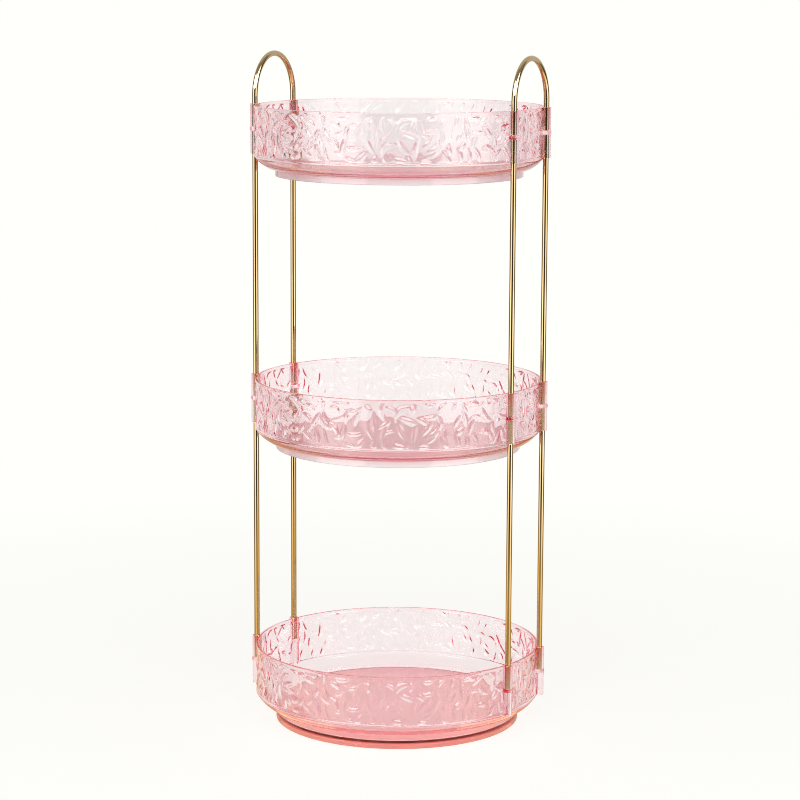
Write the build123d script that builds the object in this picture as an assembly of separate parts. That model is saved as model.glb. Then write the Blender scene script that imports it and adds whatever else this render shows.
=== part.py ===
from build123d import *
import math
import os

# Rotating three-tier makeup organizer, in millimetres, +Z up.
# The origin is the centre of the plane that the feet stand on. The handles are on +X and -X.

# Trays
tray_radius = 113.0  # outside of the smooth rim
tray_wall = 2.0
tray_height = 54.5  # foot to rim
tier_pitch = 214.0  # rim to rim
rim_band = 2.4  # height of the smooth band at the rim
skirt_band = 1.8  # height of the smooth band under the ripples
band_recess = 0.4  # depth of the rippled band behind the smooth ones
corner_top = 15.3  # height where the wall runs into the rounded corner
corner_width = 16.0  # from the wall's outside in to the foot ring's
corner_bulge = 2.0  # of the rounded corner, beyond a straight slope
foot_wall = 2.2
foot_height = 4.5  # height where the rounded corner runs into the foot ring
foot_recess = 5.0  # depth of the hollow under the floor
floor_thickness = 2.0

# Posts, handles and their sockets
rod_diameter = 4.5
rod_chamfer = 0.4
post_spacing = 65.0  # between the two posts of one side
socket_web = 1.15  # between the tray's inside and a socket
socket_wall = 1.35
socket_clearance = 0.1
septum_thickness = 3.0  # stop half way down each socket
collar_proud = 0.5  # ring outside each socket, at the stop
handle_leg = 5.5  # straight stretch of each leg above the top rim

# Turntable
glue_line = 0.1  # over each pad, and between the rotor and the bottom tray
pad_radius = 6.0
pad_thickness = 1.3
pad_seat = 0.6  # depth of the hollow that holds a pad
pad_clearance = 0.2
pad_inset = 13.0  # pad centres, from the base's outside
pad_count = 6
base_height = 4.0
base_plate = 2.2
base_rim = 2.5
base_edge = 0.6  # rounding of the base's outer edges
turntable_gap = 2.5  # between the base's rim and the bottom tray's foot
rotor_plate = 2.2
rotor_clearance = 0.3  # round the rotor, inside the foot ring

# Ball bearing
ball_diameter = 6.0
ball_count = 20
race_circle = 63.0  # radius at the balls' centres
race_clearance = 0.15
race_web = 0.4  # race under the groove, above the base's plate
race_land = 1.6  # flat beside each groove
cage_thickness = 1.6
cage_clearance = 0.3  # above and below the cage
cage_margin = 2.0  # cage beyond each ball pocket
pocket_clearance = 0.2

# Pivot screw
shoulder_radius = 3.0
pivot_clearance = 0.05
thread_radius = 2.0
thread_clearance = 0.05
thread_cover = 1.6  # rotor left above the pilot hole
hole_spare = 0.4  # pilot hole beyond the thread's end
head_radius = 4.5
head_height = 1.5
head_inset = 0.3  # head above the base's underside
driver_slot = 1.2
driver_depth = 0.7
driver_span = 5.0
washer_thickness = 0.5
washer_overhang = 1.5  # washer beyond the head
washer_clearance = 0.1  # between the washer and the base
washer_room = 0.5  # round the washer
base_boss_wall = 2.5
pivot_web = 2.0  # base boss above the washer
rotor_boss_wall = 4.0
boss_gap = 0.6  # between the two bosses

# Sizes that several pieces share
wall_inside = tray_radius - tray_wall
foot_radius = tray_radius - corner_width
foot_inside = foot_radius - foot_wall
floor_top = foot_recess + floor_thickness
rod_radius = rod_diameter / 2
socket_radius = rod_radius + socket_clearance
lug_radius = socket_radius + socket_wall
septum_low = (corner_top + tray_height - septum_thickness) / 2
septum_high = septum_low + septum_thickness
post_circle = wall_inside + socket_web + socket_radius
post_y = post_spacing / 2
post_x = math.sqrt(post_circle**2 - post_y**2)
ball_radius = ball_diameter / 2
groove_radius = ball_radius + race_clearance
race_opening = cage_thickness + 2 * cage_clearance
race_half_width = math.sqrt(groove_radius**2 - (race_opening / 2) ** 2) + race_land
washer_radius = head_radius + washer_overhang
well_radius = washer_radius + washer_room

# Heights of the stack, from the foot plane up
base_bottom = pad_thickness + glue_line - pad_seat
base_top = base_bottom + base_height
plate_top = base_bottom + base_plate
ball_z = plate_top + race_web + groove_radius
head_low = base_bottom + head_inset
head_top = head_low + head_height
washer_top = head_top + washer_thickness
well_top = washer_top + washer_clearance
base_boss_top = well_top + pivot_web
rotor_boss_low = base_boss_top + boss_gap
bottom_tray_z = base_top + turntable_gap
rotor_top = bottom_tray_z + foot_recess - glue_line
rotor_low = rotor_top - rotor_plate
pilot_top = rotor_top - thread_cover
top_tray_z = bottom_tray_z + 2 * tier_pitch
top_rim = top_tray_z + tray_height

# Signs of X and Y at the four posts
sides = {"right": 1, "left": -1}
ends = {"front": -1, "rear": 1}


def disc(radius, low, high):
    """Upright cylinder on the axis between two heights."""
    return Pos(0, 0, low) * Cylinder(radius, high - low, align=(Align.CENTER, Align.CENTER, Align.MIN))


def ring(outer, inner, low, high):
    """Upright tube on the axis between two heights."""
    return disc(outer, low, high) - disc(inner, low, high)


def at_posts(shape):
    """Copies of a shape, one at each of the four posts."""
    return [Pos(x * post_x, y * post_y, 0) * shape for x in sides.values() for y in ends.values()]


def tray_pan():
    """The round pan: floor, foot ring, rounded corner and wall, turned round the axis."""
    band_radius = tray_radius - band_recess
    band_low = corner_top + skirt_band
    band_high = tray_height - rim_band
    wall_end = Vector(tray_radius, 0, corner_top)
    foot_end = Vector(foot_radius, 0, foot_height)
    slope = wall_end - foot_end
    outward = Vector(slope.Z, 0, -slope.X).normalized()
    outer_mid = (wall_end + foot_end) / 2 + outward * corner_bulge
    under = Polyline(
        (0, 0, foot_recess),
        (foot_inside, 0, foot_recess),
        (foot_inside, 0, 0),
        (foot_radius, 0, 0),
        foot_end,
    )
    outer_corner = ThreePointArc(foot_end, outer_mid, wall_end)
    wall = Polyline(
        wall_end,
        (tray_radius, 0, band_low),
        (band_radius, 0, band_low),
        (band_radius, 0, band_high),
        (tray_radius, 0, band_high),
        (tray_radius, 0, tray_height),
        (wall_inside, 0, tray_height),
        (wall_inside, 0, corner_top),
    )
    inner_mid = outer_mid - outward * tray_wall
    inner_corner = ThreePointArc(wall @ 1, inner_mid, (foot_radius, 0, floor_top))
    floor = Polyline(inner_corner @ 1, (0, 0, floor_top), (0, 0, foot_recess))
    return revolve(make_face([under, outer_corner, wall, inner_corner, floor]), Axis.Z)


def tray():
    """Pan with four post sockets, each with a septum half way, inside a small collar.

    The lower bores run on down past the lugs, because the posts below graze the rounded corner.
    """
    lug = disc(lug_radius, corner_top, tray_height)
    collar = disc(lug_radius + collar_proud, septum_low, septum_high)
    inside = disc(wall_inside, 0, tray_height)
    upper_socket = disc(socket_radius, septum_high, tray_height)
    lower_socket = disc(socket_radius, 0, septum_low)
    body = tray_pan()
    for shape in at_posts(lug + collar):
        body += shape - inside
    for shape in at_posts(upper_socket) + at_posts(lower_socket):
        body -= shape
    return body


def post():
    """Straight rod from the septum of one tray to the septum of the next."""
    rod = disc(rod_radius, septum_high, tier_pitch + septum_low)
    return chamfer(rod.edges(), rod_chamfer)


def handle():
    """Rod bent into a hoop, with its legs down to the top tray's septums, in the plane X = 0."""
    leg_low = top_tray_z + septum_high
    arch_low = top_rim + handle_leg
    front_leg = Line((0, -post_y, leg_low), (0, -post_y, arch_low))
    rear_leg = Line((0, post_y, arch_low), (0, post_y, leg_low))
    arch = ThreePointArc(front_leg @ 1, (0, 0, arch_low + post_y), rear_leg @ 0)
    section = Pos(front_leg @ 0) * Circle(rod_radius)
    rod = sweep(section, Wire([front_leg, arch, rear_leg]))
    tips = rod.edges().group_by(Axis.Z)[0]
    return chamfer(tips, rod_chamfer)


def race_groove():
    """Ring-shaped groove that the balls run in."""
    return Pos(0, 0, ball_z) * Torus(race_circle, groove_radius)


def race_ring(low, high):
    """Raised ring that a groove is cut in."""
    return ring(race_circle + race_half_width, race_circle - race_half_width, low, high)


def pad_places():
    """Even places round the base, for the pads."""
    return PolarLocations(foot_radius - pad_inset, pad_count)


def turntable_base():
    """Dished disc that stays still, with the lower race, the pivot boss and the pad seats."""
    body = fillet(disc(foot_radius, base_bottom, base_top).edges(), base_edge)
    body -= disc(foot_radius - base_rim, plate_top, base_top)
    body += race_ring(plate_top, ball_z - race_opening / 2)
    body -= race_groove()
    body += disc(well_radius + base_boss_wall, base_bottom, base_boss_top)
    body -= disc(well_radius, base_bottom, well_top)
    body -= disc(shoulder_radius + pivot_clearance, well_top, base_boss_top)
    seat = disc(pad_radius + pad_clearance, base_bottom, base_bottom + pad_seat)
    for place in pad_places():
        body -= place * seat
    return body


def turntable_rotor():
    """Upper race disc, bonded to the underside of the bottom tray's floor."""
    body = disc(foot_inside - rotor_clearance, rotor_low, rotor_top)
    body += race_ring(ball_z + race_opening / 2, rotor_low)
    body -= race_groove()
    body += disc(thread_radius + rotor_boss_wall, rotor_boss_low, rotor_low)
    body -= disc(thread_radius + thread_clearance, rotor_boss_low, pilot_top)
    return body


def ball_places():
    """Even places round the race circle, at the balls' height."""
    return [Pos(0, 0, ball_z) * place for place in PolarLocations(race_circle, ball_count)]


def ball_cage():
    """Flat ring with a pocket for each ball."""
    pocket_radius = ball_radius + pocket_clearance
    half_width = pocket_radius + cage_margin
    low = ball_z - cage_thickness / 2
    body = ring(race_circle + half_width, race_circle - half_width, low, low + cage_thickness)
    for place in ball_places():
        body -= place * Cylinder(pocket_radius, cage_thickness)
    return body


def bearing_balls():
    """The balls, as separate solids."""
    return Compound(children=[place * Sphere(ball_radius) for place in ball_places()])


def pivot_screw():
    """Shoulder screw from below: head with a cross slot, plain shoulder and thread."""
    body = disc(head_radius, head_low, head_top)
    body += disc(shoulder_radius, head_top, rotor_boss_low)
    body += disc(thread_radius, rotor_boss_low, pilot_top - hole_spare)
    slot = Box(driver_span, driver_slot, driver_depth, align=(Align.CENTER, Align.CENTER, Align.MIN))
    for turn in (0, 90):
        body -= Pos(0, 0, head_low) * Rot(0, 0, turn) * slot
    return body


def pivot_washer():
    """Thin washer between the screw's head and the base."""
    return ring(washer_radius, shoulder_radius + pivot_clearance, head_top, washer_top)


def foot_pad():
    """Soft round pad, part sunk in its seat."""
    return disc(pad_radius, 0, pad_thickness)


def nodes():
    """Every piece of the organizer by name, in place."""
    found = {}
    tray_shape = tray()
    for tier, name in enumerate(("bottom_tray", "middle_tray", "top_tray")):
        found[name] = Pos(0, 0, bottom_tray_z + tier * tier_pitch) * tray_shape
    post_shape = post()
    hoop = handle()
    for side, x in sides.items():
        found[f"{side}_handle"] = Pos(x * post_x, 0, 0) * hoop
        for tier, level in enumerate(("lower", "upper")):
            for end, y in ends.items():
                place = Pos(x * post_x, y * post_y, bottom_tray_z + tier * tier_pitch)
                found[f"{level}_post_{side}_{end}"] = place * post_shape
    found["turntable_base"] = turntable_base()
    found["turntable_rotor"] = turntable_rotor()
    found["ball_cage"] = ball_cage()
    found["bearing_balls"] = bearing_balls()
    found["pivot_screw"] = pivot_screw()
    found["pivot_washer"] = pivot_washer()
    for number, place in enumerate(pad_places(), start=1):
        found[f"foot_pad_{number}"] = place * foot_pad()
    return found


os.makedirs("parts", exist_ok=True)
for name, shape in nodes().items():
    export_step(shape, f"parts/{name}.step")
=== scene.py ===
"""Looks of a rotating makeup organizer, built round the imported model's frame.

The three clear pink trays are surfaces worked out with numpy. Their ripples are relief in the mesh, which
the finish draws sharper. The rods, hoops, turntable and bearing keep the frame's own meshes and get their
finishes here.
"""

import math

import bpy
import numpy as np
from bpy.props import FloatProperty, FloatVectorProperty, IntProperty, PointerProperty
from mathutils import Matrix, Quaternion, Vector


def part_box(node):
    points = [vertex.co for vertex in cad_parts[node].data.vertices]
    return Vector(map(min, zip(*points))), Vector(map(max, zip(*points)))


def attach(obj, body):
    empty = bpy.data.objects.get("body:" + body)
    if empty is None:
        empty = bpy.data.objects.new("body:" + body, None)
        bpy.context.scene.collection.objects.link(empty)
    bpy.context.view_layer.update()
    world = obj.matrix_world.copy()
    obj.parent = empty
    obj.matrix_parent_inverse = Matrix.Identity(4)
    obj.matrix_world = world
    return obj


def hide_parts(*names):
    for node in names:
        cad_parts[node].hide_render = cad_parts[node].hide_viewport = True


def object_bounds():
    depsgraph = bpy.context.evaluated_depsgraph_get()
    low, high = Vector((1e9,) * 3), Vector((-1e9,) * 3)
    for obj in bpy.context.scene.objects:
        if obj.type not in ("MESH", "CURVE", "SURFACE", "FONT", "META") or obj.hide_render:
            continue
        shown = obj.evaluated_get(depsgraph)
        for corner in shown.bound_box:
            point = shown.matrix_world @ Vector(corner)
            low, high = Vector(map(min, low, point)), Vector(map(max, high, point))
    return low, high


bl_info = {
    "name": "Rotating makeup organizer",
    "version": (1, 0, 0),
    "blender": (4, 5, 0),
    "location": "3D View > Sidebar > Organizer",
    "description": "Clear pink rippled trays on gold rods, on a turntable",
    "category": "Object",
}

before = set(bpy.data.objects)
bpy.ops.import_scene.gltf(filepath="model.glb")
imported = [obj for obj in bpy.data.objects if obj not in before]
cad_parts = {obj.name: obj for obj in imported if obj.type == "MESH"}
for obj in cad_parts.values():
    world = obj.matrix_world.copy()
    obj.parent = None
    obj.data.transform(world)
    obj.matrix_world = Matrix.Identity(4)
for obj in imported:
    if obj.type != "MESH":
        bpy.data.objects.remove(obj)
CAD_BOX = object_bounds()

TRAYS = ("bottom_tray", "middle_tray", "top_tray")
POSTS = tuple(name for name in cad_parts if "_post_" in name)
HANDLES = ("right_handle", "left_handle")
PADS = tuple(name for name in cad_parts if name.startswith("foot_pad_"))
CAROUSEL = "carousel"

# Corners of the frame's pieces, which sizes below come from
TRAY_LOW, TRAY_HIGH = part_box("bottom_tray")
MIDDLE_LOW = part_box("middle_tray")[0]
POST_LOW, POST_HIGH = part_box("lower_post_right_rear")
BASE_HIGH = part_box("turntable_base")[1]
ROTOR_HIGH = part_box("turntable_rotor")[1]

# Small sizes, in metres
POST_CLEARANCE = 0.0001  # round a post in its socket
BOND_OVERLAP = 0.00003  # that the adhesive wets into each side
FLOOR_DROP = 0.0001  # from the pads down to the stage's floor

# Steps and shares of the shapes
CORNER_STEPS = 8  # along the tray's rounded corner
EDGE_STEPS = 3  # along a softened edge
EDGE_SHARE = 0.45  # most of a side that a softened edge takes up
SHARP_ANGLE = math.radians(38)  # between two faces, from which their edge is sharp
BOND_COLUMNS = 192
FLOOR_COLUMNS = 96
CREST_SHOULDER = 0.7  # share of a roof's height where the crest's flat top starts
BAND_EDGE = (0.4, 0.6)  # in wall thicknesses off the band, where the mark of the crests dies out

# Ranges of the ripples' random draws
SWELL_LENGTHS = (0.75, 1.35)  # a wave's length, in mean wavelengths
CREST_SHIFTS = (-0.4, 0.4)  # off a crest's place, in squares
CREST_REACHES = (0.35, 0.75)  # half a crest's length, in mean lengths
CREST_SIZES = (0.6, 1.15)
CREST_TAPERS = (-0.35, 0.35)  # growth of a crest's width towards one end

# The studio in mirrors, as stops of place and level. Round the organizer a place is a share of the half
# turn from the camera's side to the back, and upwards it is the heading's height.
SOFTBOX_SIDES = ((0.15, 0.0), (0.18, 1.0), (0.40, 1.0), (0.45, 0.0))
SOFTBOX_TOP = ((0.66, 1.0), (0.72, 0.0))
KEY_SIDES = ((0.36, 1.0), (0.42, 0.0))
KEY_STRIP = ((0.27, 0.0), (0.31, 1.0), (0.72, 1.0), (0.78, 0.0))
BEHIND = ((0.60, 0.0), (0.68, 1.0))
CEILING = ((0.3, 0.0), (0.6, 1.0))

# Distances from the organizer's axis, in metres, over which the floor changes
GLOW_SPAN = (0.35, 1.3)  # from the floor close by to the floor under the softboxes
SHADE_SPAN = (0.2, 0.9)  # from real light with shadows to plain glow
# painted warm glow: close by, mirrors see the floor lit warm, though it is backdrop white
NEAR_SPAN = (0.5, 0.95)  # from the warm floor close by to the plain one

# Finishes: spans of noise that the gloss follows, and heights of bumps in metres
CLOUD_SPAN = (0.3, 0.7)
STREAK_SPAN = (0.3, 0.75)
FLOW_HEIGHT = 0.0004
STREAK_HEIGHT = 0.0001
ZINC_SPREAD = 1.2  # from the zinc's colour to its palest
PLASTIC_INDEX = 1.49  # refractive index

SENSOR_WIDTH = 36.0  # millimetres
LIGHT_BOUNCES = 64  # enough for the long ways of light inside the trays
CLEAR_BOUNCES = 24


def length(name, description, default):
    """A size in metres that a user can change."""
    return FloatProperty(
        name=name, description=description, default=default, min=0.0, unit="LENGTH", precision=5)


def colour(name, description, default):
    """A linear colour that a user can change."""
    return FloatVectorProperty(
        name=name, description=description, default=default, min=0.0, subtype="COLOR", size=3)


def amount(name, description, default):
    """A plain number that a user can change."""
    return FloatProperty(name=name, description=description, default=default, precision=4)


def power(name, description, watts):
    """A lamp's power that a user can change."""
    return FloatProperty(name=name, description=description, default=watts, min=0.0, unit="POWER")


def angle(name, description, degrees):
    """An angle that a user can change, given in degrees."""
    return FloatProperty(name=name, description=description, default=math.radians(degrees), subtype="ANGLE")


class TrayShape(bpy.types.PropertyGroup):
    """Sizes of one tray, from its foot up."""

    radius: length("Radius", "Outside of the smooth rim", TRAY_HIGH.y)
    height: length("Height", "Foot to rim", TRAY_HIGH.z - TRAY_LOW.z)
    wall: length("Wall", "Thickness of the wall", 0.002)
    rim_band: length("Rim band", "Height of the smooth band at the rim", 0.0024)
    skirt_band: length("Skirt band", "Height of the smooth band under the ripples", 0.0018)
    band_recess: length("Band recess", "Depth of the rippled band behind the smooth ones", 0.0004)
    corner_top: length("Corner top", "Height where the wall runs into the rounded corner", 0.0153)
    corner_bulge: length("Corner bulge", "Rounded corner beyond a straight slope", 0.002)
    foot_radius: length("Foot radius", "Outside of the foot ring", BASE_HIGH.x)
    foot_wall: length("Foot wall", "Thickness of the foot ring", 0.0022)
    foot_height: length("Foot height", "Height where the corner runs into the foot ring", 0.0045)
    floor_under: length("Floor underside", "Height of the floor's underside", 0.005)
    floor_thickness: length("Floor", "Thickness of the floor", 0.002)
    edge_round: length("Edge rounding", "Radius of the moulded edges", 0.0005)
    columns: IntProperty(name="Columns", description="Steps round the tray", default=1000, min=48)
    band_rows: IntProperty(name="Band rows", description="Steps up the rippled band", default=50, min=4)


class RippleShape(bpy.types.PropertyGroup):
    """Relief of the rippled band: short curved crests over a slow swell."""

    height: length("Crest height", "Height of a crest above the band", 0.0008)
    drawn: amount("Drawn share", "Share of the crest height that the finish draws, not the mesh", 0.5)
    crest_length: length("Crest length", "Length of a mean crest", 0.0125)
    crest_width: length("Crest width", "Half the width of a crest", 0.0026)
    crest_bend: amount("Crest bend", "Strongest bend of a crest, per metre", 65.0)
    crest_room: length("Crest room", "Side of the square that each crest has to itself", 0.0092)
    swell: length("Swell", "Height of the slow swell under the crests", 0.00012)
    swell_length: length("Swell length", "Wavelength of the slow swell", 0.02)
    fade: length("Fade", "Height over which the relief dies out at the band's edges", 0.0015)
    waves: IntProperty(name="Waves", description="Plain waves added up in the swell", default=32, min=4)
    seed: IntProperty(name="Seed", description="Start of the random draws", default=11)


class SocketShape(bpy.types.PropertyGroup):
    """Sizes of the four post sockets on a tray's wall."""

    post_x: length("Post X", "Post axis from the middle, along X", (POST_LOW.x + POST_HIGH.x) / 2)
    post_y: length("Post Y", "Post axis from the middle, along Y", (POST_LOW.y + POST_HIGH.y) / 2)
    bore: length("Bore", "Radius of the socket", (POST_HIGH.x - POST_LOW.x) / 2 + POST_CLEARANCE)
    wall: length("Wall", "Thickness of the socket's wall", 0.00135)
    septum_low: length("Septum underside", "Height where the post below stops", POST_HIGH.z - MIDDLE_LOW.z)
    septum_high: length("Septum top", "Height where the post above stops", POST_LOW.z - TRAY_LOW.z)
    septum_gap: length("Septum gap", "Air left at a post's end", 0.0001)
    collar_proud: length("Collar", "Ring outside each socket, at the septum", 0.0005)
    web: length("Web", "Wall kept between the tray's inside and a socket", 0.0003)
    columns: IntProperty(name="Columns", description="Steps round a socket", default=40, min=12)


class PlasticFinish(bpy.types.PropertyGroup):
    """Clear plastic of the trays, frosted plastic of the turntable, and the adhesive between them."""

    wall_tint: colour("Wall tint", "What a wall lets through, seen square on", (0.96, 0.962, 0.97))
    edge_tint: colour("Edge tint", "What a wall lets through, seen edge on", (0.96, 0.82, 0.84))
    deep_tint: colour("Deep tint", "What a floor or a rim lets through", (0.98, 0.54, 0.575))
    shadow_tint: colour(
        "Shadow tint", "Light that a wall lets through to what lies behind", (0.975, 0.93, 0.94))
    depth_tint: colour(
        "Depth tint", "Colour that long ways through the plastic take on", (0.935, 0.30, 0.42))
    depth: amount("Depth density", "Absorption per metre of plastic", 50.0)
    matt: amount("Matt underside", "Roughness of the floors' undersides", 0.4)
    refraction: amount("Refractive index", "Refractive index of the clear plastic", PLASTIC_INDEX)
    turntable_pink: colour("Turntable pink", "Colour of the turntable's discs", (0.90, 0.37, 0.32))
    turntable_clear: amount("Turntable clear", "Share of light that the turntable's discs let through", 0.35)
    seal_pink: colour("Seal pink", "Colour of the adhesive inside the foot ring", (0.97, 0.62, 0.58))
    bond_pink: colour(
        "Bond pink", "Colour of the adhesive under the bottom tray's floor", (0.74, 0.72, 0.69))


class MetalFinish(bpy.types.PropertyGroup):
    """Plated and plain metals, and the small pieces of the bearing."""

    gold: colour("Gold", "Colour of the gold plating", (0.45, 0.29, 0.11))
    pale_gold: colour("Pale gold", "Colour of paler plating", (0.47, 0.37, 0.24))
    steel: colour("Steel", "Colour of the bearing balls", (0.62, 0.63, 0.65))
    zinc: colour("Zinc", "Colour of the screw and the washer", (0.52, 0.53, 0.55))
    cage_white: colour("Cage white", "Colour of the ball cage", (0.82, 0.81, 0.78))
    pad_white: colour("Pad white", "Colour of the foot pads", (0.76, 0.73, 0.71))


class StageLook(bpy.types.PropertyGroup):
    """Camera, lamps, floor and surroundings."""

    camera_place: FloatVectorProperty(
        name="Camera place", description="Where the camera stands", default=(0.8715, -1.8746, 0.5988),
        subtype="TRANSLATION", unit="LENGTH", precision=4)
    camera_turn: angle("Camera turn", "Turn of the view from +Y towards -X", 24.894)
    camera_pitch: angle("Camera pitch", "Tilt of the view below the horizon", 9.372)
    camera_roll: angle("Camera roll", "Turn of the picture", 0.263)
    lens: FloatProperty(
        name="Lens", description="Focal length on a 36 mm sensor", default=119.19, unit="CAMERA")
    backdrop: colour("Backdrop", "Colour of the floor and the background", (1.0, 1.0, 0.965))
    fill: amount("Fill", "Soft light from all round", 0.06)
    dark_level: amount("Dark level", "Brightness of the unlit studio in reflections", 0.07)
    behind_level: amount("Behind level", "Brightness of the backdrop in reflections", 0.9)
    through_level: amount(
        "Through level", "Brightness of floor and ceiling that plastic turns back to", 1.0)
    above_level: amount("Above level", "Brightness of the studio's ceiling in reflections", 0.45)
    glow_level: amount("Glow level", "Brightness of the floor under the softboxes in reflections", 3.0)
    # painted warm glow: the floor close by shows this colour only in reflections
    near_glow_tint: colour("Near tint", "Colour of the floor close by in reflections", (1.0, 0.80, 0.42))
    near_level: amount("Near level", "Brightness of the lit floor close by in reflections", 1.7)
    near_dark: amount("Near dark", "Least brightness of the floor close by in reflections", 0.7)
    softbox_level: amount("Softbox level", "Brightness of the softboxes in reflections", 2.65)
    key_level: amount("Key level", "Brightness of the lamp over the camera in reflections", 10.0)
    guided_share: amount(
        "Guided share", "Share of the lamps' brightness that light turned back in plastic shows", 0.6)
    softbox_power: power("Softbox power", "Power of each softbox", 12.0)
    softbox_width: length("Softbox width", "Width of each softbox", 1.2)
    softbox_height: length("Softbox height", "Height of each softbox", 1.6)
    softbox_distance: length("Softbox distance", "Softboxes from the organizer's axis", 1.5)
    softbox_turn: angle("Softbox turn", "Softboxes to each side of the camera", 53)
    softbox_rise: length("Softbox rise", "Height of the softboxes' middles", 0.75)
    key_power: power("Key power", "Power of the lamp over the camera", 25.0)
    key_width: length("Key width", "Width of the lamp over the camera", 1.2)
    key_height: length("Key height", "Height of the lamp over the camera", 0.8)
    key_distance: length("Key distance", "Lamp over the camera, from the organizer's axis", 1.2)
    key_rise: length("Key rise", "Lamp over the camera, above the floor", 1.6)
    floor_radius: length("Floor radius", "Radius of the floor", 3.0)
    floor_shade: amount("Floor shade", "Share of the floor's light that shadows take away", 0.14)


def fresh_object(name, mesh):
    """A new object at the origin, in the scene."""
    made = bpy.data.objects.new(name, mesh)
    bpy.context.scene.collection.objects.link(made)
    return made


def mesh_from_grids(name, grids, closed_ends=True):
    """One mesh of grids of points (row, column, 3) whose columns close round on themselves.

    Each cell is a quad. With closed ends, the first and last rows of each grid are filled by fans round
    their middles.
    """
    vertices, faces, count = [], [], 0
    for points in grids:
        rows, columns = points.shape[:2]
        index = count + np.arange(rows * columns).reshape(rows, columns)
        after = np.roll(index, -1, axis=1)
        quads = np.stack((index[:-1], after[:-1], after[1:], index[1:]), axis=-1)
        vertices.append(points.reshape(-1, 3))
        faces += quads.reshape(-1, 4).tolist()
        count += rows * columns
        if closed_ends:
            vertices.append(np.stack((points[0].mean(axis=0), points[-1].mean(axis=0))))
            first = np.full(columns, count)
            faces += np.stack((first, after[0], index[0]), axis=-1).tolist()
            faces += np.stack((first + 1, index[-1], after[-1]), axis=-1).tolist()
            count += 2
    mesh = bpy.data.meshes.new(name)
    mesh.from_pydata(np.concatenate(vertices).tolist(), [], faces)
    mesh.update()
    return mesh


def column(*values):
    """Numbers as one column of a grid."""
    return np.array(values)[:, None]


def turned(radius, height, turn):
    """Points of a surface of revolution: (r cos t, r sin t, h), on a grid of rows r, h and columns t."""
    radius, height, turn = np.broadcast_arrays(radius, height, turn)
    return np.stack((radius * np.cos(turn), radius * np.sin(turn), height), axis=-1)


def round_turns(columns):
    """Even angles once round, without the last, which is the first."""
    return np.linspace(0.0, 2 * np.pi, columns, endpoint=False)[None, :]


def bow(start, middle, end):
    """Points of the parabola that runs from start through middle to end, without its last point."""
    start, middle, end = (np.array(point) for point in (start, middle, end))
    control = 2 * middle - (start + end) / 2
    t = np.linspace(0.0, 1.0, CORNER_STEPS, endpoint=False)[:, None]
    return (1 - t) ** 2 * start + 2 * t * (1 - t) * control + t**2 * end


def softened(corners, radius):
    """Polyline with each inner corner cut by a short parabola of about the given radius."""
    corners = np.array(corners)
    before, here, after = corners[:-2], corners[1:-1], corners[2:]
    back, ahead = before - here, after - here
    back_length = np.linalg.norm(back, axis=1, keepdims=True)
    ahead_length = np.linalg.norm(ahead, axis=1, keepdims=True)
    reach = np.minimum(radius, EDGE_SHARE * np.minimum(back_length, ahead_length))
    enter = here + back / back_length * reach
    leave = here + ahead / ahead_length * reach
    t = np.linspace(0.0, 1.0, EDGE_STEPS)[None, :, None]
    curves = (1 - t) ** 2 * enter[:, None] + 2 * t * (1 - t) * here[:, None] + t**2 * leave[:, None]
    return np.concatenate((corners[:1], curves.reshape(-1, 2), corners[-1:]))


def smooth_step(low, high, value):
    """0 below low, 1 above high, and an even ease between: 3 s^2 - 2 s^3."""
    s = np.clip((value - low) / (high - low), 0.0, 1.0)
    return s * s * (3 - 2 * s)


def random_swell(turn, height, radius, wavelength, waves, draws):
    """Smooth random field on a cylinder, with unit spread.

    It is a sum of plain waves cos(m t + q z + phase). Each wave has a random direction, and m is a whole
    number, so that the field closes round the cylinder.
    """
    direction = draws.uniform(0.0, np.pi, waves)
    pitch = 2 * np.pi / (wavelength * draws.uniform(*SWELL_LENGTHS, waves))
    whole = np.round(pitch * radius * np.cos(direction))
    steep = pitch * np.sin(direction)
    phase = draws.uniform(0.0, 2 * np.pi, waves)
    field = sum(np.cos(m * turn + q * height + start) for m, q, start in zip(whole, steep, phase))
    return field * math.sqrt(2.0 / waves)


def crests(turn, height, low, high, radius, ripple, draws):
    """Field of short roof-shaped crests on a cylinder, from 0 to about 1.

    The crests stand on staggered rows, each a little off its place. With u along a crest and v across it,
    bent by a parabola, it is a roof s (1 - sqrt((v / s w)^2 + (u / l)^2)), with w growing towards one end.
    The field is the highest roof at each point, or 0.
    """
    rows = round((high - low) / ripple.crest_room)
    columns = round(2 * np.pi * radius / ripple.crest_room)
    row, place = (index.ravel() for index in np.indices((rows, columns)))
    count = row.size
    place = place + row % 2 / 2
    drawn = zip(
        2 * np.pi * (place + draws.uniform(*CREST_SHIFTS, count)) / columns,
        low + (high - low) * (row + 0.5 + draws.uniform(*CREST_SHIFTS, count)) / rows,
        draws.uniform(0.0, np.pi, count),
        draws.uniform(*CREST_REACHES, count) * ripple.crest_length,
        draws.uniform(*CREST_SIZES, count),
        draws.uniform(-1.0, 1.0, count) * ripple.crest_bend,
        draws.uniform(*CREST_TAPERS, count))
    field = np.zeros(np.broadcast_shapes(turn.shape, height.shape))
    for around, level, lean, reach, size, bend, taper in drawn:
        x = ((turn - around + np.pi) % (2 * np.pi) - np.pi) * radius
        y = height - level
        along = x * math.cos(lean) + y * math.sin(lean)
        across = y * math.cos(lean) - x * math.sin(lean) - bend * along**2
        width = size * ripple.crest_width * (1.0 + taper * np.clip(along / reach, -1.0, 1.0))
        field = np.maximum(field, size * (1.0 - np.hypot(across / width, along / reach)))
    return field


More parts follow.
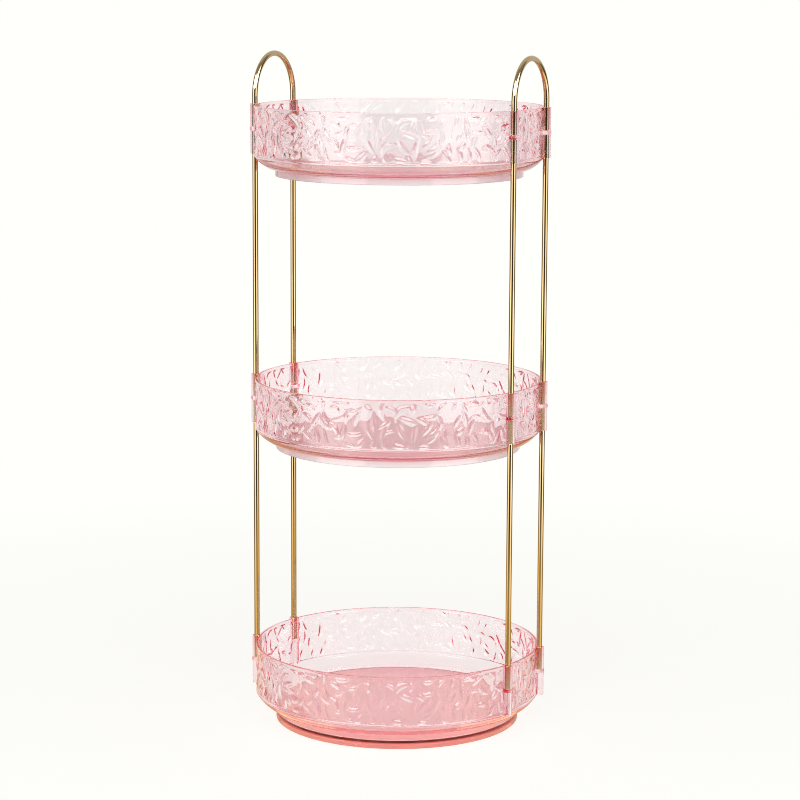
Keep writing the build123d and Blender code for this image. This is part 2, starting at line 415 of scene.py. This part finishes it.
def ripple_fields(turn, height, shape, ripple):
    """Crests and slow swell of the rippled band, each dying out at the band's edges."""
    low = shape.corner_top + shape.skirt_band
    high = shape.height - shape.rim_band
    radius = shape.radius - shape.band_recess
    draws = np.random.default_rng(ripple.seed)
    swell = random_swell(turn, height, radius, ripple.swell_length, ripple.waves, draws)
    crest = crests(turn, height, low, high, radius, ripple, draws)
    edge = smooth_step(0.0, ripple.fade, height - low) * smooth_step(0.0, ripple.fade, high - height)
    return edge * crest, edge * swell


def ripple_relief(turn, height, shape, ripple):
    """Relief of the rippled band in the mesh, in metres: flat-topped crests over a slow swell."""
    crest, swell = ripple_fields(turn, height, shape, ripple)
    top = np.clip(crest / CREST_SHOULDER, 0.0, 1.0)
    return (1.0 - ripple.drawn) * ripple.height * (top - top.mean()) + ripple.swell * swell


def tray_pan(shape, ripple):
    """Round pan: an outline of radius and height, carried once round the axis, with relief on its band."""
    inside = shape.radius - shape.wall
    floor_top = shape.floor_under + shape.floor_thickness
    foot_inside = shape.foot_radius - shape.foot_wall
    hub = foot_inside / 3
    band_low = shape.corner_top + shape.skirt_band
    band_high = shape.height - shape.rim_band
    band_radius = shape.radius - shape.band_recess
    wall_end = np.array((shape.radius, shape.corner_top))
    foot_end = np.array((shape.foot_radius, shape.foot_height))
    slope = wall_end - foot_end
    outward = np.array((slope[1], -slope[0])) / np.linalg.norm(slope)
    bulge = (wall_end + foot_end) / 2 + outward * shape.corner_bulge
    foot = softened(
        ((hub, shape.floor_under), (foot_inside, shape.floor_under), (foot_inside, 0.0),
         (shape.foot_radius, 0.0), foot_end), shape.edge_round)[:-1]
    corner = bow(foot_end, bulge, wall_end)
    ledge = band_low - shape.skirt_band / 2
    skirt = softened(
        (wall_end, (shape.radius, ledge), (band_radius, band_low)), shape.edge_round / 2)[:-1]
    heights = np.linspace(band_low, band_high, shape.band_rows)
    band = np.stack((np.full_like(heights, band_radius), heights), axis=-1)
    rim = softened(
        ((band_radius, band_high), (shape.radius, band_high), (shape.radius, shape.height),
         (inside, shape.height), (inside, shape.corner_top)), shape.edge_round)[1:-1]
    bowl = bow((inside, shape.corner_top), bulge - outward * shape.wall, (shape.foot_radius, floor_top))
    floor = np.array(((shape.foot_radius, floor_top), (foot_inside, floor_top), (hub, floor_top)))
    outline = np.concatenate((foot, corner, skirt, band, rim, bowl, floor))
    start = len(foot) + len(corner) + len(skirt)
    turn = round_turns(shape.columns)
    radius = np.repeat(outline[:, :1], shape.columns, axis=1)
    radius[start:start + shape.band_rows] += ripple_relief(turn, heights[:, None], shape, ripple)
    return mesh_from_grids("tray_pan", [turned(radius, outline[:, 1:], turn)])


def socket_places(socket):
    """Axes of the four sockets, in plan."""
    return [(x * socket.post_x, y * socket.post_y) for x in (1, -1) for y in (1, -1)]


def socket_lugs(shape, socket):
    """Four round lugs with a collar at the septum, turned round the post axes.

    Where a lug would reach the tray's inside, its points are moved straight out into the wall.
    """
    lug = socket.bore + socket.wall
    collar = lug + socket.collar_proud
    outline = softened(
        ((lug / 4, shape.corner_top), (lug, shape.corner_top), (lug, socket.septum_low),
         (collar, socket.septum_low), (collar, socket.septum_high), (lug, socket.septum_high),
         (lug, shape.height), (lug / 4, shape.height)), shape.edge_round / 2)
    upright = turned(outline[:, :1], outline[:, 1:], round_turns(socket.columns))
    keep_out = shape.radius - shape.wall + socket.web
    lugs = []
    for x, y in socket_places(socket):
        points = upright + (x, y, 0.0)
        reach = np.linalg.norm(points[..., :2], axis=-1, keepdims=True)
        points[..., :2] *= np.maximum(1.0, keep_out / reach)
        lugs.append(points)
    return mesh_from_grids("socket_lugs", lugs)


def socket_bores(shape, socket):
    """Eight plain cylinders, turned round the post axes: above each septum to the rim, and below it."""
    spare = shape.edge_round * 2
    spans = (
        (socket.septum_high - socket.septum_gap, shape.height + spare),
        (-spare, socket.septum_low + socket.septum_gap))
    radii = column(socket.bore / 2, socket.bore, socket.bore, socket.bore / 2)
    turn = round_turns(socket.columns)
    bores = [
        turned(radii, column(low, low, high, high), turn) + (x, y, 0.0)
        for x, y in socket_places(socket) for low, high in spans]
    return mesh_from_grids("socket_bores", bores)


def modified(mesh, *steps):
    """Mesh that the given modifiers make of another. Each step is a modifier's kind and its settings."""
    body = fresh_object("body", mesh)
    for kind, settings in steps:
        modifier = body.modifiers.new(kind.lower(), kind)
        for name, value in settings.items():
            setattr(modifier, name, value)
    found = bpy.data.meshes.new_from_object(body.evaluated_get(bpy.context.evaluated_depsgraph_get()))
    bpy.data.objects.remove(body)
    return found


def carved(pan, lugs, bores):
    """Mesh of the pan with the lugs joined on and the bores cut out."""
    tools = [fresh_object("tray_lugs", lugs), fresh_object("tray_bores", bores)]
    found = modified(pan, *(
        ("BOOLEAN", {"object": tool, "operation": operation, "solver": "EXACT"})
        for tool, operation in zip(tools, ("UNION", "DIFFERENCE"))))
    if len(found.vertices) < len(pan.vertices):
        raise RuntimeError("the tray lost part of its pan when the sockets were cut")
    for tool in tools:
        bpy.data.objects.remove(tool)
    return found


def shaded(mesh):
    """Mesh with smooth shading that keeps its large faces flat, and sharp edges."""
    mesh.materials.clear()
    mesh.shade_smooth()
    mesh.set_sharp_from_angle(angle=SHARP_ANGLE)
    return modified(mesh, ("WEIGHTED_NORMAL", {"keep_sharp": True}))


def add_mark(mesh, name, values):
    """Gives a mesh an attribute with one number for each vertex."""
    layer = mesh.attributes.new(name, "FLOAT", "POINT")
    layer.data.foreach_set("value", values.astype(np.float32))


def tray_mesh(shape, ripple, socket):
    """One tray at the origin, with marks for its finish: floor and rim, matt underside, crests."""
    mesh = shaded(carved(tray_pan(shape, ripple), socket_lugs(shape, socket), socket_bores(shape, socket)))
    places = np.empty(len(mesh.vertices) * 3, np.float32)
    mesh.vertices.foreach_get("co", places)
    x, y, z = places.reshape(-1, 3).T.astype(float)
    radius = np.hypot(x, y)
    foot_inside = shape.foot_radius - shape.foot_wall
    inward = 1.0 - smooth_step(foot_inside + shape.edge_round, shape.foot_radius, radius)
    above = smooth_step(shape.floor_under - shape.edge_round * 2, shape.floor_under - shape.edge_round, z)
    rim = smooth_step(shape.height - shape.edge_round, shape.height - shape.edge_round / 4, z)
    add_mark(mesh, "deep", np.maximum(above * inward, rim))
    add_mark(mesh, "underside", inward * (z < shape.floor_under + shape.floor_thickness / 2))
    off_band = np.abs(radius - shape.radius + shape.band_recess) / shape.wall
    crest, _ = ripple_fields(np.arctan2(y, x), z, shape, ripple)
    add_mark(mesh, "crest", crest * (1.0 - smooth_step(*BAND_EDGE, off_band)))
    return mesh


def feed(tree, socket, value):
    """Links an output to a socket, or sets the socket to a number, a vector or a colour."""
    if hasattr(value, "is_output"):
        tree.links.new(value, socket)
    elif socket.type == "RGBA":
        socket.default_value = (*value, 1.0)
    else:
        socket.default_value = value


def add_node(tree, kind, **values):
    """A new node of a shader tree, with the named sockets fed. A space in a name is written as _."""
    node = tree.nodes.new("ShaderNode" + kind)
    for name, value in values.items():
        feed(tree, node.inputs[name.replace("_", " ")], value)
    return node


def math_node(tree, operation, first, second=0.0):
    """Output of a Math node on two sockets or numbers."""
    node = add_node(tree, "Math")
    node.operation = operation
    feed(tree, node.inputs[0], first)
    feed(tree, node.inputs[1], second)
    return node.outputs[0]


def times(tree, first, second):
    """Output of one socket or number times another."""
    return math_node(tree, "MULTIPLY", first, second)


def remainder(tree, share):
    """Output that is 1 less a share."""
    return math_node(tree, "SUBTRACT", 1.0, share)


def vector_node(tree, operation, first, second=None):
    """Vector Math node on a socket and, where there is one, a second vector."""
    node = add_node(tree, "VectorMath")
    node.operation = operation
    feed(tree, node.inputs[0], first)
    if second is not None:
        feed(tree, node.inputs[1], second)
    return node


def mix_colour(tree, factor, first, second):
    """Output of a colour Mix node: first where the factor is 0, second where it is 1."""
    node = add_node(tree, "Mix")
    node.data_type = "RGBA"
    feed(tree, node.inputs["Factor"], factor)
    feed(tree, node.inputs[6], first)  # 6 and 7 are the sockets of the colours
    feed(tree, node.inputs[7], second)
    return node.outputs[2]


def blend(tree, factor, first, second):
    """Output between two numbers or sockets: first where the factor is 0, second where it is 1."""
    kept = times(tree, remainder(tree, factor), first)
    return math_node(tree, "ADD", kept, times(tree, factor, second))


def remap(tree, value, span, low, high):
    """Output that runs from low to high while a value crosses a span."""
    node = add_node(
        tree, "MapRange", Value=value, From_Min=span[0], From_Max=span[1], To_Min=low, To_Max=high)
    return node.outputs["Result"]


def ramp(tree, factor, stops, top=1.0):
    """Output of a grey ramp: stops are pairs of place and level, and a level counts in tops."""
    node = add_node(tree, "ValToRGB", Fac=factor)
    elements = node.color_ramp.elements
    while len(elements) < len(stops):
        elements.new(0.5)
    for element, (place, level) in zip(elements, stops):
        element.position = place
        element.color = (level * top, level * top, level * top, 1.0)
    return node.outputs["Color"]


def new_group(name, inputs, outputs, vector=None):
    """Empty shader node group. Inputs and outputs map a socket's name to its default, or to its kind."""
    group = bpy.data.node_groups.new(name, "ShaderNodeTree")
    if vector:
        group.interface.new_socket(vector, in_out="INPUT", socket_type="NodeSocketVector")
    for label, default in inputs.items():
        socket = group.interface.new_socket(label, in_out="INPUT", socket_type="NodeSocketFloat")
        socket.default_value = default
    for label, kind in outputs.items():
        group.interface.new_socket(label, in_out="OUTPUT", socket_type=kind)
    return group, group.nodes.new("NodeGroupInput").outputs, group.nodes.new("NodeGroupOutput").inputs


FINISH_OUTPUTS = {"Roughness": "NodeSocketFloat", "Normal": "NodeSocketVector", "Cloud": "NodeSocketFloat"}


def moulded_finish():
    """Group for moulded plastic: cloudy gloss, faint flow marks in the normal, and a slow cloud."""
    found = bpy.data.node_groups.get("moulded_finish")
    if found:
        return found
    group, given, result = new_group(
        "moulded_finish",
        {"Cloud Scale": 40.0, "Flow Scale": 220.0, "Gloss": 0.02, "Haze": 0.06, "Flow Depth": 0.05},
        FINISH_OUTPUTS)
    place = add_node(group, "TexCoord").outputs["Object"]
    cloud = add_node(group, "TexNoise", Vector=place, Scale=given["Cloud Scale"], Detail=3.0).outputs["Fac"]
    flow = add_node(
        group, "TexNoise", Vector=place, Scale=given["Flow Scale"], Detail=2.0, Distortion=0.6)
    bump = add_node(
        group, "Bump", Strength=given["Flow Depth"], Distance=FLOW_HEIGHT, Height=flow.outputs["Fac"])
    group.links.new(remap(group, cloud, CLOUD_SPAN, given["Gloss"], given["Haze"]), result["Roughness"])
    group.links.new(bump.outputs["Normal"], result["Normal"])
    group.links.new(cloud, result["Cloud"])
    return group


def drawn_finish():
    """Group for drawn or turned metal: fine streaks along Z in gloss and normal, and a slow cloud."""
    found = bpy.data.node_groups.get("drawn_finish")
    if found:
        return found
    group, given, result = new_group(
        "drawn_finish",
        {"Streak Scale": 2600.0, "Stretch": 0.02, "Gloss": 0.08, "Haze": 0.2, "Streak Depth": 0.05},
        FINISH_OUTPUTS)
    place = add_node(group, "TexCoord").outputs["Object"]
    along = add_node(group, "CombineXYZ", X=1.0, Y=1.0, Z=given["Stretch"])
    stretched = vector_node(group, "MULTIPLY", place, along.outputs[0]).outputs[0]
    streak = add_node(
        group, "TexNoise", Vector=stretched, Scale=given["Streak Scale"], Detail=2.0).outputs["Fac"]
    bump = add_node(group, "Bump", Strength=given["Streak Depth"], Distance=STREAK_HEIGHT, Height=streak)
    cloud = add_node(group, "TexNoise", Vector=place, Scale=60.0, Detail=2.0)
    group.links.new(remap(group, streak, STREAK_SPAN, given["Gloss"], given["Haze"]), result["Roughness"])
    group.links.new(bump.outputs["Normal"], result["Normal"])
    group.links.new(cloud.outputs["Fac"], result["Cloud"])
    return group


def new_material(name):
    """Material with an empty tree and its output node."""
    material = bpy.data.materials.new(name)
    material.use_nodes = True
    material.node_tree.nodes.clear()
    return material, material.node_tree, add_node(material.node_tree, "OutputMaterial")


def place_group(tree, group, **values):
    """Outputs of a group node with its inputs fed by name. A space in a name is written as _."""
    node = add_node(tree, "Group")
    node.node_tree = group
    for name, value in values.items():
        feed(tree, node.inputs[name.replace("_", " ")], value)
    return node.outputs


def mark(tree, name):
    """Output with a mesh attribute's numbers."""
    node = add_node(tree, "Attribute")
    node.attribute_name = name
    return node.outputs["Fac"]


def mix_shaders(tree, share, first, second, out):
    """Joins two shaders to the output: first where the share is 0, second where it is 1."""
    surface = add_node(tree, "MixShader")
    for socket, value in zip(surface.inputs, (share, first.outputs[0], second.outputs[0])):
        tree.links.new(value, socket)
    tree.links.new(surface.outputs[0], out.inputs["Surface"])


def let_lamps_through(tree, plastic, tint, out):
    """Joins a plastic to the output so that it only tints the light of lamps that falls through it."""
    lamplight = add_node(tree, "BsdfTransparent", Color=tint)
    mix_shaders(tree, add_node(tree, "LightPath").outputs["Is Shadow Ray"], plastic, lamplight, out)


def clear_plastic(finish, ripple):
    """Clear pink plastic that lamps shine through.

    It is tinted glass, deeper in the floor, at the rim and along long ways through it. The crests of the
    rippled band are drawn again in the normal, with sharp shoulders.
    """
    material, tree, out = new_material("clear_pink_plastic")
    skin = place_group(tree, moulded_finish(), Gloss=0.0, Haze=0.05, Flow_Depth=0.03)
    rough = blend(tree, mark(tree, "underside"), skin["Roughness"], finish.matt)
    top = remap(tree, mark(tree, "crest"), (0.0, CREST_SHOULDER), 0.0, 1.0)
    relief = add_node(
        tree, "Bump", Distance=ripple.height * ripple.drawn, Height=top, Normal=skin["Normal"])
    facing = add_node(tree, "LayerWeight", Blend=0.5).outputs["Facing"]
    wall = mix_colour(tree, facing, finish.wall_tint, finish.edge_tint)
    tint = mix_colour(tree, mark(tree, "deep"), wall, finish.deep_tint)
    plastic = add_node(
        tree, "BsdfPrincipled", Base_Color=tint, Roughness=rough, Normal=relief.outputs["Normal"],
        IOR=finish.refraction, Transmission_Weight=1.0)
    let_lamps_through(tree, plastic, finish.shadow_tint, out)
    depth = add_node(tree, "VolumeAbsorption", Color=finish.depth_tint, Density=finish.depth)
    tree.links.new(depth.outputs[0], out.inputs["Volume"])
    return material


def clouded(tree, skin, pigment, shade):
    """Output with a pigment that a finish's cloud darkens, at most to the given shade of it."""
    return mix_colour(tree, skin["Cloud"], tuple(channel * shade for channel in pigment), tuple(pigment))


def solid_plastic(name, pigment, gloss, haze, gleam=0.5):
    """Pigmented plastic or rubber, a little cloudy in its colour and its gloss."""
    material, tree, out = new_material(name)
    skin = place_group(
        tree, moulded_finish(), Cloud_Scale=60.0, Flow_Scale=900.0, Gloss=gloss, Haze=haze, Flow_Depth=0.12)
    plastic = add_node(
        tree, "BsdfPrincipled", Base_Color=clouded(tree, skin, pigment, shade=0.9),
        Roughness=skin["Roughness"], Normal=skin["Normal"], IOR=PLASTIC_INDEX, Specular_IOR_Level=gleam)
    tree.links.new(plastic.outputs[0], out.inputs["Surface"])
    return material


def frosted_plastic(finish):
    """Frosted pink plastic of the turntable, which lets a little light through."""
    material, tree, out = new_material("frosted_pink_plastic")
    skin = place_group(tree, moulded_finish(), Flow_Scale=900.0, Gloss=0.15, Haze=0.28, Flow_Depth=0.05)
    plastic = add_node(
        tree, "BsdfPrincipled", Base_Color=clouded(tree, skin, finish.turntable_pink, shade=0.94),
        Roughness=skin["Roughness"], Normal=skin["Normal"], IOR=finish.refraction,
        Transmission_Weight=finish.turntable_clear)
    let_lamps_through(tree, plastic, finish.turntable_pink, out)
    return material


def metal(name, deep, pale, gloss, haze, streak_depth=0.05):
    """Metal with drawn streaks, between two colours, or of one where there is no pale one."""
    material, tree, out = new_material(name)
    skin = place_group(tree, drawn_finish(), Gloss=gloss, Haze=haze, Streak_Depth=streak_depth)
    tint = mix_colour(tree, skin["Cloud"], deep, pale) if pale else deep
    body = add_node(
        tree, "BsdfPrincipled", Base_Color=tint, Roughness=skin["Roughness"], Normal=skin["Normal"],
        Metallic=1.0)
    tree.links.new(body.outputs[0], out.inputs["Surface"])
    return material


def bond_film(shape):
    """Disc of adhesive, turned round the axis, that fills the glue line between rotor and floor."""
    low = ROTOR_HIGH.z - BOND_OVERLAP
    high = TRAY_LOW.z + shape.floor_under + BOND_OVERLAP
    radii = column(ROTOR_HIGH.x / 3, ROTOR_HIGH.x, ROTOR_HIGH.x, ROTOR_HIGH.x / 3)
    points = turned(radii, column(low, low, high, high), round_turns(BOND_COLUMNS))
    return mesh_from_grids("rotor_bond", [points])


def bond_fillet(shape):
    """Ring of adhesive, turned round the axis, between the rotor and the inside of the foot ring."""
    inside = ROTOR_HIGH.x + BOND_OVERLAP
    outside = shape.foot_radius - shape.foot_wall + BOND_OVERLAP
    low = TRAY_LOW.z + shape.edge_round / 4
    high = TRAY_LOW.z + shape.floor_under - BOND_OVERLAP
    radii = column(inside, outside, outside, inside, inside)
    points = turned(radii, column(low, low, high, high, low), round_turns(BOND_COLUMNS))
    return mesh_from_grids("bond_fillet", [points], closed_ends=False)


def finish_nodes(names, material):
    """Gives the named frame pieces one material."""
    for name in names:
        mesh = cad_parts[name].data
        mesh.materials.clear()
        mesh.materials.append(material)


class ORGANIZER_OT_trays(bpy.types.Operator):
    """Make the three trays from one mould"""

    bl_idname = "organizer.trays"
    bl_label = "Trays"

    def execute(self, context):
        scene = context.scene
        mould = tray_mesh(scene.organizer_tray, scene.organizer_ripple, scene.organizer_socket)
        plastic = clear_plastic(scene.organizer_plastic, scene.organizer_ripple)
        for node in TRAYS:
            mesh = mould.copy()
            mesh.transform(Matrix.Translation((0.0, 0.0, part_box(node)[0].z)))
            mesh.materials.append(plastic)
            tray = fresh_object(node + "_clear", mesh)
            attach(tray, CAROUSEL)
            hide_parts(node)
        bpy.data.meshes.remove(mould)
        return {"FINISHED"}


class ORGANIZER_OT_rods(bpy.types.Operator):
    """Plate the posts and the hoop handles with gold"""

    bl_idname = "organizer.rods"
    bl_label = "Posts and handles"

    def execute(self, context):
        finish = context.scene.organizer_metal
        plating = metal(
            "gold_plating", finish.gold, finish.pale_gold, gloss=0.015, haze=0.05, streak_depth=0.0)
        finish_nodes(POSTS + HANDLES, plating)
        return {"FINISHED"}


class ORGANIZER_OT_turntable(bpy.types.Operator):
    """Finish the turntable's base and rotor, and bond the rotor to the bottom tray"""

    bl_idname = "organizer.turntable"
    bl_label = "Turntable"

    def execute(self, context):
        shape = context.scene.organizer_tray
        finish = context.scene.organizer_plastic
        finish_nodes(("turntable_base", "turntable_rotor"), frosted_plastic(finish))
        for mesh, pink in ((bond_film(shape), finish.bond_pink), (bond_fillet(shape), finish.seal_pink)):
            mesh.materials.append(solid_plastic(mesh.name + "_pink", pink, gloss=0.4, haze=0.5, gleam=0.0))
            bond = fresh_object(mesh.name, mesh)
            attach(bond, CAROUSEL)
        return {"FINISHED"}


class ORGANIZER_OT_bearing(bpy.types.Operator):
    """Finish the ball cage and the balls"""

    bl_idname = "organizer.bearing"
    bl_label = "Ball bearing"

    def execute(self, context):
        finish = context.scene.organizer_metal
        finish_nodes(("ball_cage",), solid_plastic("cage_plastic", finish.cage_white, gloss=0.35, haze=0.5))
        steel = metal("ball_steel", finish.steel, None, gloss=0.06, haze=0.12, streak_depth=0.0)
        finish_nodes(("bearing_balls",), steel)
        return {"FINISHED"}


class ORGANIZER_OT_pivot(bpy.types.Operator):
    """Finish the pivot screw and its washer"""

    bl_idname = "organizer.pivot"
    bl_label = "Pivot"

    def execute(self, context):
        zinc = context.scene.organizer_metal.zinc
        paler = tuple(min(1.0, channel * ZINC_SPREAD) for channel in zinc)
        plating = metal("zinc_plating", zinc, paler, gloss=0.25, haze=0.42)
        finish_nodes(("pivot_screw", "pivot_washer"), plating)
        return {"FINISHED"}


class ORGANIZER_OT_pads(bpy.types.Operator):
    """Finish the foot pads"""

    bl_idname = "organizer.pads"
    bl_label = "Foot pads"

    def execute(self, context):
        white = context.scene.organizer_metal.pad_white
        finish_nodes(PADS, solid_plastic("pad_rubber", white, gloss=0.55, haze=0.75))
        return {"FINISHED"}


def level_heading(turn):
    """Level direction from the organizer, at a turn from -Y towards +X."""
    return Vector((math.sin(turn), -math.cos(turn), 0.0))


def camera_forward(stage):
    """Direction that the camera looks in."""
    turn, flat = stage.camera_turn, math.cos(stage.camera_pitch)
    return Vector((-math.sin(turn) * flat, math.cos(turn) * flat, -math.sin(stage.camera_pitch)))


def studio_mirror(stage):
    """Group for what a mirror sees in the studio: lamps in front, dark between, grey above, pale behind.

    The way round from the camera's side is taken as an angle's share of a half turn: acos(h . c) / pi. Glow
    is the light of the softboxes, or of the floor under them. Clear is 1 where light was turned back inside
    clear plastic, which gathers the light of the whole ceiling and dims the lamps.
    """
    group, given, result = new_group(
        "studio_mirror", {"Glow": stage.softbox_level, "Clear": 0.0}, {"Level": "NodeSocketFloat"},
        vector="Heading")
    parts = add_node(group, "SeparateXYZ", Vector=given["Heading"]).outputs
    flat = add_node(group, "CombineXYZ", X=parts["X"], Y=parts["Y"]).outputs[0]
    unit = vector_node(group, "NORMALIZE", flat).outputs[0]
    facing = vector_node(group, "DOT_PRODUCT", unit, level_heading(stage.camera_turn)).outputs["Value"]
    share = math_node(group, "DIVIDE", math_node(group, "ARCCOSINE", facing), math.pi)
    softboxes = times(group, ramp(group, share, SOFTBOX_SIDES), ramp(group, parts["Z"], SOFTBOX_TOP))
    strip = times(group, ramp(group, parts["Z"], KEY_STRIP), stage.key_level)
    key = times(group, ramp(group, share, KEY_SIDES), strip)
    lamps = math_node(group, "MAXIMUM", times(group, softboxes, given["Glow"]), key)
    dimmed = times(group, given["Clear"], 1.0 - stage.guided_share)
    level = times(group, lamps, remainder(group, dimmed))
    gathered = times(group, given["Clear"], stage.through_level - stage.above_level)
    ceiling = math_node(group, "ADD", gathered, stage.above_level)
    above = times(group, ramp(group, parts["Z"], CEILING), ceiling)
    for other in (ramp(group, share, BEHIND, stage.behind_level), above, stage.dark_level):
        level = math_node(group, "MAXIMUM", level, other)
    group.links.new(level, result["Level"])
    return group


def deeper(tree, kind):
    """Output that is 1 on a ray with at least one bounce of the given kind behind it, or else 0."""
    return math_node(tree, "GREATER_THAN", add_node(tree, "LightPath").outputs[kind + " Depth"], 0.5)


def mirrored_share(tree):
    """Output that is 1 on a ray that a mirror has turned, and 0 on one that only passed through things."""
    glossy = add_node(tree, "LightPath").outputs["Is Glossy Ray"]
    return times(tree, glossy, deeper(tree, "Glossy"))


def make_world(stage, mirror):
    """Surroundings: a white backdrop to look at and through, the studio to mirror, and an even fill."""
    world = bpy.data.worlds.new("studio")
    bpy.context.scene.world = world
    world.use_nodes = True
    tree = world.node_tree
    tree.nodes.clear()
    heading = add_node(tree, "TexCoord").outputs["Generated"]
    studio = place_group(tree, mirror, Heading=heading, Clear=deeper(tree, "Transmission"))
    path = add_node(tree, "LightPath").outputs
    passing = math_node(tree, "MAXIMUM", path["Is Camera Ray"], path["Is Transmission Ray"])
    level = blend(tree, passing, stage.fill, 1.0)
    level = blend(tree, mirrored_share(tree), level, studio["Level"])
    light = add_node(tree, "Background", Color=stage.backdrop, Strength=level)
    out = add_node(tree, "OutputWorld")
    tree.links.new(light.outputs[0], out.inputs["Surface"])


def make_floor(stage, mirror):
    """Pale round floor: rows of a disc, (r cos t, r sin t, h), just under the pads.

    Near the organizer a share of its light is real, so that shadows show. Further out it glows as the
    backdrop does. Mirrors see the studio in it, and close by a painted warm glow that only they see.
    """
    radii = column(0.0, stage.floor_radius / 3, stage.floor_radius)
    points = turned(radii, np.full_like(radii, -FLOOR_DROP), round_turns(FLOOR_COLUMNS))
    floor = fresh_object("floor", mesh_from_grids("floor", [points], closed_ends=False))
    material, tree, out = new_material("pale_floor")
    place = add_node(tree, "TexCoord").outputs["Object"]
    away = vector_node(tree, "LENGTH", place).outputs["Value"]
    clear = deeper(tree, "Transmission")
    mirrored = mirrored_share(tree)
    under_softbox = remap(tree, away, GLOW_SPAN, stage.near_level, stage.glow_level)
    studio = place_group(tree, mirror, Heading=place, Glow=under_softbox, Clear=clear)
    path = add_node(tree, "LightPath").outputs
    seen = path["Is Camera Ray"]
    for kind in ("Is Glossy Ray", "Is Transmission Ray"):
        seen = math_node(tree, "MAXIMUM", seen, path[kind])
    shade = remap(tree, away, SHADE_SPAN, stage.floor_shade, 0.0)
    real = times(tree, shade, remainder(tree, mirrored))
    share = times(tree, remainder(tree, real), seen)
    close = remap(tree, away, NEAR_SPAN, 1.0, 0.0)
    # painted warm glow: mirrors see the floor close by lit in the near tint, not backdrop white
    warm = times(tree, close, times(tree, mirrored, remainder(tree, clear)))
    level = blend(tree, mirrored, 1.0, blend(tree, clear, studio["Level"], stage.through_level))
    level = math_node(tree, "MAXIMUM", level, times(tree, warm, stage.near_dark))
    glow = add_node(
        tree, "Emission", Color=mix_colour(tree, warm, stage.backdrop, stage.near_glow_tint), Strength=level)
    mix_shaders(tree, share, add_node(tree, "BsdfDiffuse", Color=stage.backdrop), glow, out)
    floor.data.materials.append(material)


def make_lamp(name, place, aim, width, height, watts):
    """Rectangular lamp that faces a point. The camera and the mirrors see the studio in its place."""
    data = bpy.data.lights.new(name, "AREA")
    data.shape = "RECTANGLE"
    data.size = width
    data.size_y = height
    data.energy = watts
    lamp = bpy.data.objects.new(name, data)
    lamp.location = place
    lamp.rotation_euler = (aim - place).to_track_quat("-Z", "Y").to_euler()
    lamp.visible_camera = False
    lamp.visible_glossy = False
    lamp.visible_transmission = False
    bpy.context.scene.collection.objects.link(lamp)


def make_lamps(stage):
    """A softbox to each side of the camera, and a key lamp over it."""
    aim = Vector((0.0, 0.0, stage.softbox_rise))
    for name, side in (("softbox_left", -1), ("softbox_right", 1)):
        place = aim + level_heading(stage.camera_turn + side * stage.softbox_turn) * stage.softbox_distance
        make_lamp(name, place, aim, stage.softbox_width, stage.softbox_height, stage.softbox_power)
    over = level_heading(stage.camera_turn) * stage.key_distance + Vector((0.0, 0.0, stage.key_rise))
    middle = Vector((0.0, 0.0, CAD_BOX[1][2] / 2))
    make_lamp("key_lamp", over, middle, stage.key_width, stage.key_height, stage.key_power)


def make_camera(stage):
    """Camera at the photograph's viewing angle."""
    data = bpy.data.cameras.new("camera")
    data.sensor_width = SENSOR_WIDTH
    data.lens = stage.lens
    camera = bpy.data.objects.new("camera", data)
    camera.location = stage.camera_place
    level = camera_forward(stage).to_track_quat("-Z", "Y")
    camera.rotation_euler = (level @ Quaternion((0.0, 0.0, 1.0), stage.camera_roll)).to_euler()
    bpy.context.scene.collection.objects.link(camera)
    bpy.context.scene.camera = camera


class ORGANIZER_OT_stage(bpy.types.Operator):
    """Make the floor, the light and the camera"""

    bl_idname = "organizer.stage"
    bl_label = "Stage"

    def execute(self, context):
        scene = context.scene
        stage = scene.organizer_stage
        mirror = studio_mirror(stage)
        make_world(stage, mirror)
        make_floor(stage, mirror)
        make_lamps(stage)
        make_camera(stage)
        scene.view_settings.view_transform = "Standard"
        scene.cycles.filter_width = 1.0
        scene.cycles.max_bounces = LIGHT_BOUNCES
        scene.cycles.glossy_bounces = LIGHT_BOUNCES
        scene.cycles.transmission_bounces = LIGHT_BOUNCES
        scene.cycles.transparent_max_bounces = CLEAR_BOUNCES
        return {"FINISHED"}


PIECE_STEPS = (
    ORGANIZER_OT_trays,
    ORGANIZER_OT_rods,
    ORGANIZER_OT_turntable,
    ORGANIZER_OT_bearing,
    ORGANIZER_OT_pivot,
    ORGANIZER_OT_pads,
    ORGANIZER_OT_stage,
)


class ORGANIZER_PT_steps(bpy.types.Panel):
    """The organizer's steps, in order"""

    bl_label = "Makeup organizer"
    bl_space_type = "VIEW_3D"
    bl_region_type = "UI"
    bl_category = "Organizer"

    def draw(self, context):
        for step in PIECE_STEPS:
            self.layout.operator(step.bl_idname)


SETTINGS = {
    "organizer_tray": TrayShape,
    "organizer_ripple": RippleShape,
    "organizer_socket": SocketShape,
    "organizer_plastic": PlasticFinish,
    "organizer_metal": MetalFinish,
    "organizer_stage": StageLook,
}
CLASSES = tuple(SETTINGS.values()) + PIECE_STEPS + (ORGANIZER_PT_steps,)


def register():
    """Registers the classes and hangs the settings on the scene."""
    for item in CLASSES:
        bpy.utils.register_class(item)
    for name, kind in SETTINGS.items():
        setattr(bpy.types.Scene, name, PointerProperty(type=kind))


def unregister():
    """Takes the settings and the classes away again."""
    for name in SETTINGS:
        delattr(bpy.types.Scene, name)
    for item in reversed(CLASSES):
        bpy.utils.unregister_class(item)


def main():
    """Makes every piece in order."""
    register()
    bpy.ops.organizer.trays()
    bpy.ops.organizer.rods()
    bpy.ops.organizer.turntable()
    bpy.ops.organizer.bearing()
    bpy.ops.organizer.pivot()
    bpy.ops.organizer.pads()
    bpy.ops.organizer.stage()


if __name__ == "__main__":
    main()
